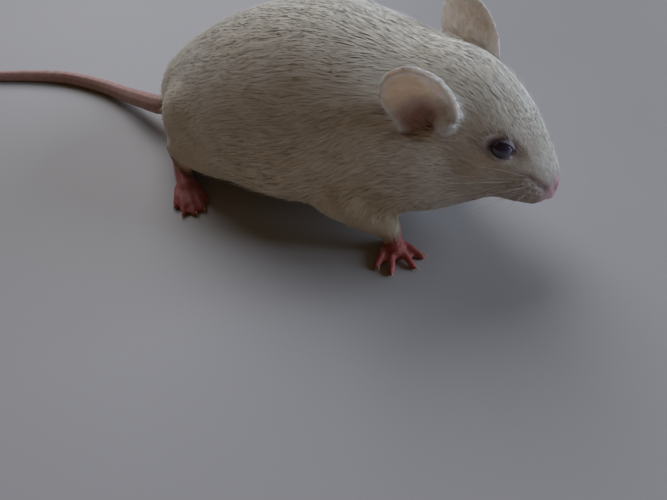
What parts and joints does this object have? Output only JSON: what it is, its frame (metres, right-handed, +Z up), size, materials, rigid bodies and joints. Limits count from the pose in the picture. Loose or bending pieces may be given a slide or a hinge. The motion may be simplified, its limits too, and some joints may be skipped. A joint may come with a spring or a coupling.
{
  "type": "white mouse model",
  "caption": "Life-size still model of a white pet mouse crouching on a level floor, with cupped ears, bare pink feet and a long tail laid along the floor.",
  "frame": {"origin": "on the floor, under the middle of the model's box", "axes": "+X is the way the animal faces, +Y its left side, +Z up"},
  "size_m": [0.1506, 0.0428, 0.0332],
  "materials": {
    "coat": "soft short white fur",
    "nose": "moist pink skin",
    "ear": "thin skin with fine short white hair, cream to peach",
    "foot": "bare pink skin",
    "tail": "finely ringed dusky pink skin",
    "eye": "wet and glossy, very dark plum"
  },
  "bodies": {
    "root": {"trunk": "coat", "neck": "coat", "head": "coat", "foreleg_left": "coat", "foreleg_right": "coat", "hindleg_left": "coat", "hindleg_right": "coat", "nose": "nose", "ear_left": "ear", "ear_right": "ear", "eye_left": "eye", "eye_right": "eye", "forefoot_left": "foot", "forefoot_right": "foot", "hindfoot_left": "foot", "hindfoot_right": "foot", "tail_base": "tail", "tail_middle": "tail", "tail_end": "tail", "tail_tip": "tail"}
  },
  "joints": []
}
